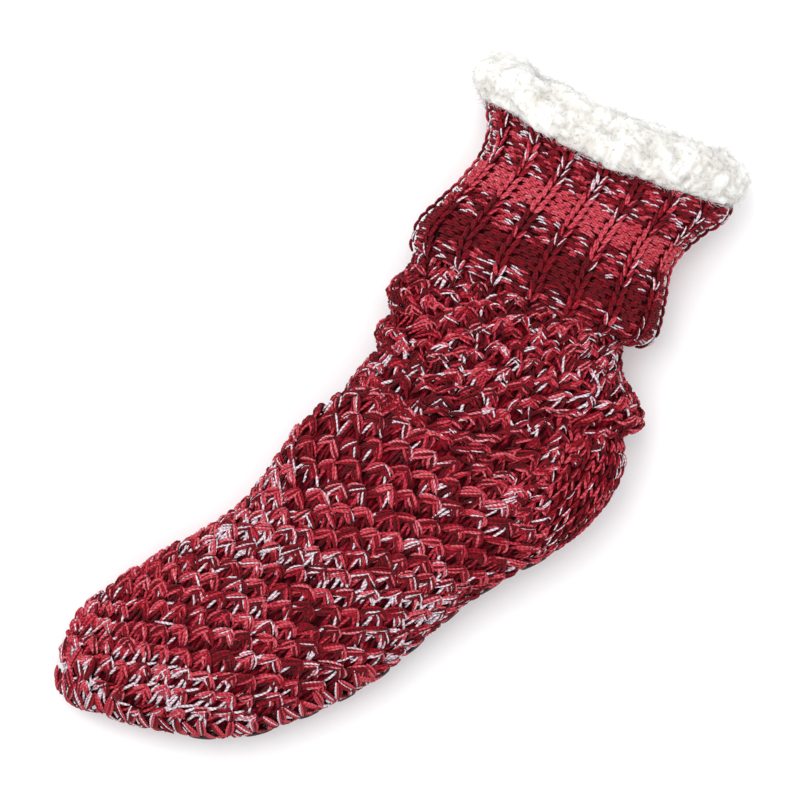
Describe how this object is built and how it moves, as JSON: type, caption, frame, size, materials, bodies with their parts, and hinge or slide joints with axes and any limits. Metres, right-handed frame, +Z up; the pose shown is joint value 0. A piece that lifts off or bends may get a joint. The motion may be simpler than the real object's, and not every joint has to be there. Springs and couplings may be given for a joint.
{
  "type": "slipper sock",
  "caption": "Chunky knitted slipper sock with a ribbed, rolled cuff, slack leg, sherpa collar and gripper sole, lying on its side.",
  "frame": {"origin": "middle of the sock's box, on the floor under it as it lies on its side", "axes": "+X from the toe to the mouth of the cuff, +Y from the sole to the instep, +Z up from the floor"},
  "size_m": [0.3478, 0.1532, 0.0536],
  "materials": {
    "knit": "matte two-ply marled yarn",
    "sherpa": "matte curly pile",
    "grip": "satin printed silicone"
  },
  "bodies": {
    "root": {"knit_upper": "knit", "sherpa_collar": "sherpa", "grip_dot_a1": "grip", "grip_dot_a2": "grip", "grip_dot_a3": "grip", "grip_dot_a4": "grip", "grip_dot_a5": "grip", "grip_dot_a6": "grip", "grip_dot_a7": "grip", "grip_dot_a8": "grip", "grip_dot_a9": "grip", "grip_dot_b1": "grip", "grip_dot_b2": "grip", "grip_dot_b3": "grip", "grip_dot_b4": "grip", "grip_dot_b5": "grip", "grip_dot_b6": "grip", "grip_dot_b7": "grip", "grip_dot_b8": "grip"}
  },
  "joints": []
}
